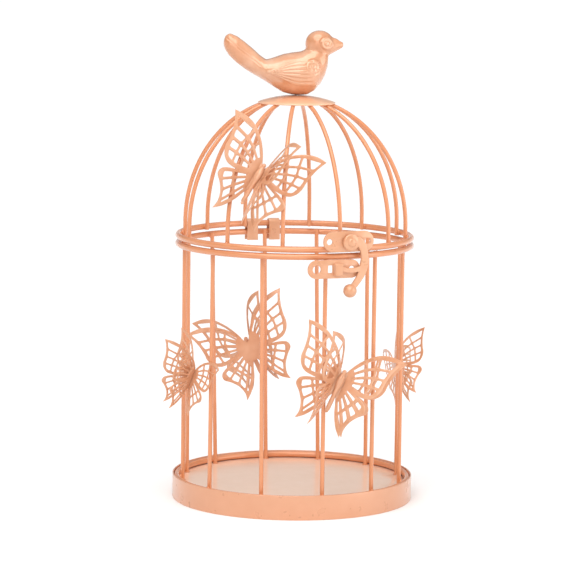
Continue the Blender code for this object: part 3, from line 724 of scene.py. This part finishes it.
# the veins, each as points from the thorax to the rim; cells lie between neighbours
upperVeins = [[(4.5, 10.4), (10.8, 18.5), (18.2, 23.8), (32.9, 26.6)],
              [(6.4, 8.4), (13.0, 13.8), (19.6, 17.0), (29.6, 19.4)],
              [(7.6, 5.9), (14.6, 9.4), (21.2, 11.6), (28.0, 12.6)],
              [(8.0, 3.4), (14.8, 4.9), (21.0, 5.8), (27.4, 6.2)],
              [(7.4, 0.9), (14.0, -0.4), (20.0, -0.9), (25.0, 1.0)]]
lowerVeins = [[(6.0, -0.9), (16.4, -4.2), (22.6, -6.8)],
              [(6.4, -3.4), (14.3, -8.0), (21.0, -12.2)],
              [(5.8, -5.9), (11.7, -11.8), (16.6, -17.4)],
              [(4.9, -8.3), (9.3, -15.6), (14.3, -23.8)],
              [(3.9, -10.9), (7.2, -18.0), (13.0, -25.9)]]
backRows = ((0, 1), (1, 2), (2, 3))
frontRows = ((0, 2), (2, 3))
lowerRows = ((0, 1), (1, 2))

# where they sit: turn of the flat, place to its right, height, how far off, lean to the
# right, tilt back at the top, size and how far the front wings fold up
barButterflies = {
    "front": (-1.5, 9.0, 83.0, 0.0, 25.0, 0.0, 1.0, 46.0),
    "right": (88.5, 11.0, 78.2, 0.0, 32.0, 0.0, 0.72, 49.0),
    "rear": (178.5, 9.0, 83.0, 0.0, 25.0, 0.0, 1.0, 46.0),
    "left": (-71.0, -7.4, 81.0, 1.2, 24.0, -8.0, 0.72, 71.5),
}
domeButterfly = {"turn": math.radians(-38.0), "slope": math.radians(18.0),
                 "rise": 13.6 * mm, "lean": math.radians(25.0)}


def smoothOutline(points, corners, steps=5):
    # a Catmull-Rom line that stays sharp at the corners
    line = []
    count = len(points)
    for i in range(count - 1):
        before = points[i] if i in corners else points[i - 1]
        after = points[i + 1] if i + 1 in corners else points[(i + 2) % count]
        p = [Vector(before), Vector(points[i]), Vector(points[i + 1]), Vector(after)]
        for k in range(steps):
            line.append(catmull(p, k / steps))
    line.append(Vector(points[-1]))
    return line


def insetCell(corners, inset):
    # moves every side of a cell inwards by the same distance
    points = [Vector(corner) for corner in corners]
    count = len(points)
    area = sum(a.x * b.y - a.y * b.x for a, b in zip(points, points[1:] + points[:1]))
    turn = 1 if area > 0 else -1
    moved = []
    for i, here in enumerate(points):
        first = (here - points[i - 1]).normalized()
        second = (points[(i + 1) % count] - here).normalized()
        normal = Vector((-first.y - second.y, first.x + second.x)) * turn
        normal.normalize()
        spread = abs(normal.x * -first.y * turn + normal.y * first.x * turn)
        moved.append(here + normal * inset / max(spread, 0.35))
    return moved


def cellsBetween(veins, rows):
    cells = []
    for first, second in zip(veins, veins[1:]):
        for near, far in rows:
            corners = first[near:far + 1] + second[near:far + 1][::-1]
            inner = insetCell(corners, wing["web"] / 2)
            cells.append(roundedLoop(inner, wing["corner"], 4))
    return cells


def wingOutlines(rows):
    line = smoothOutline(wing["outline"], wing["corners"])
    edge = [Vector((-1.0, 5.2))] + line + [Vector((-1.0, -8.0))]
    return [edge] + cellsBetween(upperVeins, rows) + cellsBetween(lowerVeins, lowerRows)


def wingMesh(rows, fold, cup, size):
    # both halves of a sheet, sliced so that it can bend, folded and slightly cupped
    unit = size * mm
    outlines = [[point * unit for point in outline] for outline in wingOutlines(rows)]
    work = workOf(flatCurveMesh("wingSheet", outlines, wing["sheet"], wing["edge"], 1))
    step = wing["slice"] * unit
    line = wing["foldLine"] * unit
    cuts = [((0, k * step, 0), (0, 1, 0)) for k in range(*wing["slicesAlong"])]
    cuts += [((line + k * step, 0, 0), (1, 0, 0)) for k in range(wing["slicesAcross"])]
    for spot, normal in cuts:
        bmesh.ops.bisect_plane(work, geom=[*work.verts, *work.edges, *work.faces],
                               plane_co=spot, plane_no=normal)
    bmesh.ops.bisect_plane(work, geom=[*work.verts, *work.edges, *work.faces],
                           plane_co=(0, 0, 0), plane_no=(1, 0, 0), clear_inner=True)
    reach = wing["reach"] * unit
    for vert in work.verts:
        beyond = max(vert.co.x - line, 0)
        bend = fold + cup * math.sin(min(beyond / reach, 1) * math.pi) / 2
        lift = vert.co.z
        if beyond:
            vert.co.x = line + beyond * math.cos(bend) - lift * math.sin(fold)
            vert.co.z = lift * math.cos(fold) + beyond * math.sin(bend)
    bmesh.ops.mirror(work, geom=[*work.verts, *work.edges, *work.faces], axis="X",
                     merge_dist=5e-6)
    return meshOf(work, "wingSheet")


# place along the body, half width and height, from the head to the tail
bodySections = [(8.6, 0.3, 0.3), (8.2, 1.0, 0.8), (7.0, 1.4, 1.1), (5.8, 1.2, 1.0),
                (4.4, 1.7, 1.3), (2.0, 2.2, 1.6), (-0.6, 2.2, 1.6), (-3.0, 1.7, 1.4),
                (-5.5, 1.4, 1.3), (-10.0, 1.4, 1.2), (-14.0, 1.4, 1.2), (-17.4, 1.35, 1.1),
                (-18.8, 1.0, 0.8), (-19.4, 0.3, 0.3)]


def bodyMesh(size):
    # head, thorax and a long abdomen, pressed from strip and round on top
    unit = size * mm
    work = bmesh.new()
    rings = []
    for along, half, high in bodySections:
        place = (Matrix.Translation((0, along * unit, 0))
                 @ Matrix.Diagonal((half * unit, 1, high * unit, 1))
                 @ Matrix.Rotation(math.pi / 2, 4, "X"))
        made = bmesh.ops.create_circle(work, segments=20, radius=1, matrix=place)
        rings.append(made["verts"])
    closeLoft(work, rings)
    for vert in work.verts:
        vert.co.z = max(vert.co.z, 0)
    bmesh.ops.subdivide_edges(work, edges=work.edges, cuts=1, use_grid_fill=True, smooth=0.6)
    for vert in work.verts:
        vert.co.z = max(vert.co.z, 0)
    return meshOf(work, "butterflyBody")


def closeLoft(work, rings):
    # caps the first and last ring and bridges each one to the next
    for ring in (rings[0], rings[-1]):
        work.faces.new(ring)
    for first, second in zip(rings, rings[1:]):
        firstVerts, secondVerts = set(first), set(second)
        edges = [e for e in work.edges if firstVerts.issuperset(e.verts)
                 or secondVerts.issuperset(e.verts)]
        bmesh.ops.bridge_loops(work, edges=edges)


def domeButterflyPlace():
    across = barRadius * math.cos(barStep / 2)
    slope = domeButterfly["slope"]
    reach = math.hypot(across * math.cos(slope), wires["domeRise"] * math.sin(slope)) + barWire
    spring = tangentFrame(domeButterfly["turn"], 0, wires["domeSpring"])
    return (spring @ Matrix.Rotation(-slope, 4, "X")
            @ Matrix.Translation((0, domeButterfly["rise"], reach))
            @ Matrix.Rotation(-domeButterfly["lean"], 4, "Z"))


def addButterfly(name, place, body, size, fold):
    back = wingMesh(backRows, math.radians(wing["backFold"]), wing["backCup"], size)
    front = wingMesh(frontRows, math.radians(fold), wing["frontCup"], size)
    parts = (("back_wings", back, wing["backLayer"]), ("front_wings", front, wing["frontLayer"]),
             ("body", bodyMesh(size), wing["bodyLayer"]))
    for part, mesh, layer in parts:
        mesh.transform(place @ Matrix.Translation((0, 0, layer)))
        node = f"{name}_butterfly_{part}"
        addMesh(node + "Sheet", mesh, "butterfly", body, [node], 35)


def buildButterflies():
    for name, row in barButterflies.items():
        turn, aside, height, off, lean, tilt, size, fold = row
        flat = tangentFrame(math.radians(turn), barRadius + barWire + off * mm,
                            height * mm, aside * mm)
        place = (flat @ Matrix.Rotation(math.radians(tilt), 4, "X")
                 @ Matrix.Rotation(math.radians(-lean), 4, "Z"))
        addButterfly(name, place, "cage", size, fold)
    addButterfly("dome", domeButterflyPlace(), "lid", 1.0, wing["frontFold"])


# bird
# body sections in millimetres along its heading: place, underside, back, half width
bird = {"foot": 252.8 * mm, "turn": math.radians(-17.0), "voxel": 0.42,
        "sections": [(-45.6, 29.4, 33.0, 1.8), (-44.4, 26.6, 35.8, 3.8),
                     (-41.8, 23.0, 37.4, 5.2), (-37.2, 18.8, 35.4, 6.0),
                     (-32.2, 15.2, 31.8, 6.4), (-27.4, 12.3, 27.9, 7.0),
                     (-22.8, 9.7, 23.8, 8.4), (-19.2, 7.6, 21.4, 9.8),
                     (-14.2, 4.4, 22.9, 11.6), (-8.8, 1.4, 24.9, 13.0),
                     (-3.2, 0.0, 26.0, 13.9), (1.8, -0.3, 26.6, 13.9), (6.2, 0.1, 28.6, 13.0),
                     (11.0, 2.8, 30.2, 11.4), (14.8, 7.4, 30.4, 9.2), (17.4, 12.4, 29.2, 7.0),
                     (19.0, 18.0, 27.4, 4.8)],
        "head": (13.6, 31.4, 9.0, 8.3, 8.2), "eye": (18.2, 31.9, 3.7),
        "beak": (22.6, 30.6, 11.4, 6.8, 1.6), "brow": (21.6, 31.8, 4.7, 3.6, 3.2),
        "wingLines": 6, "groove": 0.42, "rosette": (10.0, 17.9, 4.4)}


def birdShell():
    work = bmesh.new()
    rings = []
    for along, under, back, half in bird["sections"]:
        place = (Matrix.Translation((along, 0, (under + back) / 2))
                 @ Matrix.Diagonal((1, half, (back - under) / 2, 1))
                 @ Matrix.Rotation(math.pi / 2, 4, "Y"))
        made = bmesh.ops.create_circle(work, segments=40, radius=1, matrix=place)
        rings.append(made["verts"])
    closeLoft(work, rings)
    for x, z, long, high, wide in (bird["head"], bird["brow"]):
        size = Matrix.Translation((x, 0, z)) @ Matrix.Diagonal((long, wide, high, 1))
        bmesh.ops.create_uvsphere(work, u_segments=40, v_segments=24, radius=1, matrix=size)
    x, z, length, base, tip = bird["beak"]
    aim = Matrix.Translation((x, 0, z)) @ Matrix.Rotation(math.radians(85), 4, "Y")
    bmesh.ops.create_cone(work, cap_ends=True, segments=32, radius1=base, radius2=tip,
                          depth=length, matrix=aim)
    bmesh.ops.recalc_face_normals(work, faces=work.faces)
    return work


def softStep(value, low, high):
    t = max(0.0, min(1.0, (value - low) / (high - low)))
    return t * t * (3 - 2 * t)


def wingBand(x):
    # lower and upper edge of the folded wing at a place along the bird
    t = softStep(x, -19.5, 2.5)
    high = 14.4 + 6.6 * t
    low = 13.8 - 7.8 * t
    return low, high


def birdRelief(point):
    # raised wing with combed feather lines, a shoulder rosette, eyes and tail grooves
    x, y, z = point
    low, high = wingBand(x)
    relief = 0.0
    edge = 14.2 - 2.0 * ((z - 13.4) / 8) ** 2
    inWing = (softStep(x, -20.5, -17.5) * (1 - softStep(x, edge - 0.7, edge + 0.5))
              * softStep(z, low - 0.7, low + 0.5) * (1 - softStep(z, high - 0.5, high + 0.7)))
    sideOn = softStep(abs(y), 3.0, 5.0)
    relief += 0.55 * inWing * sideOn
    share = (z - low) / max(high - low, 0.6)
    comb = 0.5 - 0.5 * math.cos(math.tau * bird["wingLines"] * share)
    rx, rz, size = bird["rosette"]
    away = math.hypot(x - rx, z - rz)
    plain = softStep(away, size, size + 1.2)
    fade = (1 - softStep(x, 8.0, 10.5)) * softStep(x, -18.5, -13.0)
    relief -= bird["groove"] * (1 - comb) ** 3 * inWing * plain * fade * sideOn
    ring = math.exp(-((away - size) / 0.55) ** 2) + math.exp(-((away - 1.5) / 0.5) ** 2)
    petals = 0.5 + 0.5 * math.cos(7 * math.atan2(z - rz, x - rx))
    between = math.exp(-((away - 2.8) / 0.8) ** 2) * petals
    relief -= 0.3 * (ring + 0.7 * between) * sideOn
    ex, ez, eye = bird["eye"]
    look = math.hypot(x - ex, z - ez)
    lids = math.exp(-((look - eye * 0.78) / 0.6) ** 2)
    pupil = 1 - softStep(look, 0.9, 1.7)
    socket = math.exp(-((look - eye * 1.18) / 0.5) ** 2)
    relief += (0.5 * lids + 0.55 * pupil - 0.25 * socket) * softStep(abs(y), 2.0, 4.0)
    tailPart = 1 - softStep(x, -24.0, -19.0)
    along = z - (31.8 - (x + 43) * 0.78)
    relief -= 0.28 * tailPart * math.exp(-((along - 2.2) / 0.5) ** 2) * softStep(abs(y), 1.5, 3)
    return relief


def buildBird():
    remesh = {"mode": "VOXEL", "voxel_size": bird["voxel"], "adaptivity": 0.0}
    work = evaluated(birdShell(), "birdCast", [("REMESH", remesh)])
    neck = Vector((13.0, 0, 24.5))
    soft = [v for v in work.verts if (v.co - neck).length < 13 or v.co.x < -38
            or (v.co.x > 17 and v.co.z > 20)]
    for _ in range(14):
        bmesh.ops.smooth_vert(work, verts=soft, factor=0.5, use_axis_x=True,
                              use_axis_y=True, use_axis_z=True)
    for _ in range(6):
        bmesh.ops.smooth_vert(work, verts=work.verts, factor=0.5, use_axis_x=True,
                              use_axis_y=True, use_axis_z=True)
    work.normal_update()
    # the relief is also kept for the paint, which uses it for painted shade in grooves and
    # painted highlight on ridges
    layer = work.verts.layers.float.new("relief")
    moves = [(vert, vert.normal.copy(), birdRelief(vert.co)) for vert in work.verts]
    for vert, outward, relief in moves:
        sideways = 0.25 + 0.75 * abs(outward.y)
        vert.co += outward * relief * sideways
        vert[layer] = 0.5 + relief * sideways
    for vert in work.verts:
        vert.co.z = max(vert.co.z, 0)
    place = (Matrix.Translation((0, 0, bird["foot"])) @ Matrix.Rotation(bird["turn"], 4, "Z")
             @ Matrix.Scale(mm, 4))
    bmesh.ops.transform(work, matrix=place, verts=work.verts)
    mesh = meshOf(work, "birdFinial")
    addMesh("birdFinial", mesh, "bird", "lid", ["bird"], 80)


# floor, light and camera
studio = {"floorSize": 80.0, "sunStrength": 1.9, "sunAngle": math.radians(60),
          "sunTurn": [math.radians(28), math.radians(-12), math.radians(-17)],
          "skyStops": [(0.0, 0.95), (0.08, 0.9), (0.28, 0.16), (1.0, 1.0)],
          "aim": (0, 0, 0.15)}
# each softbox's place, size and power
softboxes = {"keySoftbox": ((-1.1, -2.0, 1.1), (1.4, 1.4), 10.0),
             "fillSoftbox": ((1.3, -1.0, 0.6), (1.0, 1.2), 9.0)}
shot = {"azimuth": math.radians(-17.02), "pitch": math.radians(7.435),
        "roll": math.radians(0.716), "distance": 1.68743, "height": 0.34814,
        "lens": 167.06}


def buildFloor():
    mesh = bpy.data.meshes.new("studioFloor")
    work = bmesh.new()
    bmesh.ops.create_grid(work, x_segments=1, y_segments=1, size=studio["floorSize"] / 2)
    work.to_mesh(mesh)
    work.free()
    floor = bpy.data.objects.new("studioFloor", mesh)
    bpy.context.scene.collection.objects.link(floor)
    paint = Paint("studioFloor")
    cloud = paint.noise(3.0, 2)
    colour = paint.mix(cloud, rgb(0.90, 0.90, 0.90), rgb(0.92, 0.92, 0.92))
    mesh.materials.append(paint.use(colour=colour, roughness=0.85, specular=0.1))


def addSoftbox(name, place, size, power):
    light = bpy.data.lights.new(name, "AREA")
    light.shape = "RECTANGLE"
    light.size, light.size_y = size
    light.energy = power
    lamp = bpy.data.objects.new(name, light)
    lamp.location = place
    look = Vector(studio["aim"]) - Vector(place)
    lamp.rotation_euler = look.to_track_quat("-Z", "Y").to_euler()
    bpy.context.scene.collection.objects.link(lamp)


def buildStudio():
    scene = bpy.context.scene
    scene.view_settings.view_transform = "Standard"
    scene.view_settings.look = "None"
    world = bpy.data.worlds.new("studioWorld")
    world.use_nodes = True
    tree = world.node_tree
    sky = tree.nodes["Background"]
    aim = tree.nodes.new("ShaderNodeTexCoord")
    parts = tree.nodes.new("ShaderNodeSeparateXYZ")
    fall = tree.nodes.new("ShaderNodeValToRGB")      # pale low down, dark, then bright above
    stops = studio["skyStops"]
    while len(fall.color_ramp.elements) < len(stops):
        fall.color_ramp.elements.new(0.5)
    for element, (spot, level) in zip(fall.color_ramp.elements, stops):
        element.position = spot
        element.color = rgb(level, level, level)
    tree.links.new(aim.outputs["Generated"], parts.inputs[0])
    tree.links.new(parts.outputs["Z"], fall.inputs[0])
    tree.links.new(fall.outputs["Color"], sky.inputs["Color"])
    scene.world = world
    sun = bpy.data.lights.new("overhead", "SUN")
    sun.energy = studio["sunStrength"]
    sun.angle = studio["sunAngle"]
    lamp = bpy.data.objects.new("overhead", sun)
    lamp.rotation_euler = studio["sunTurn"]
    scene.collection.objects.link(lamp)
    for name, (place, size, power) in softboxes.items():
        addSoftbox(name, place, size, power)


def buildCamera():
    data = bpy.data.cameras.new("shot")
    data.lens = shot["lens"]
    data.sensor_width = 36
    camera = bpy.data.objects.new("shot", data)
    azimuth = shot["azimuth"]
    spot = Vector((math.sin(azimuth), -math.cos(azimuth), 0)) * shot["distance"]
    spot.z = shot["height"]
    camera.matrix_world = (Matrix.Translation(spot) @ Matrix.Rotation(azimuth, 4, "Z")
                           @ Matrix.Rotation(math.pi / 2 - shot["pitch"], 4, "X")
                           @ Matrix.Rotation(shot["roll"], 4, "Z"))
    bpy.context.scene.collection.objects.link(camera)
    bpy.context.scene.camera = camera


buildCamera()
buildTray()
buildRings()
buildUprights()
buildRibs()
buildCap()
print("cage and lid wires done")
buildStraps()
buildLatchPlate()
buildCatchPlate()
buildHook()
buildRivet()
print("hinge and latch done")
buildButterflies()
print("butterflies done")
buildBird()
print("bird done")
screw = frame["nodes"]["bird_screw"]
screw.data.materials.clear()
screw.data.materials.append(paints["screw"])
buildFloor()
buildStudio()
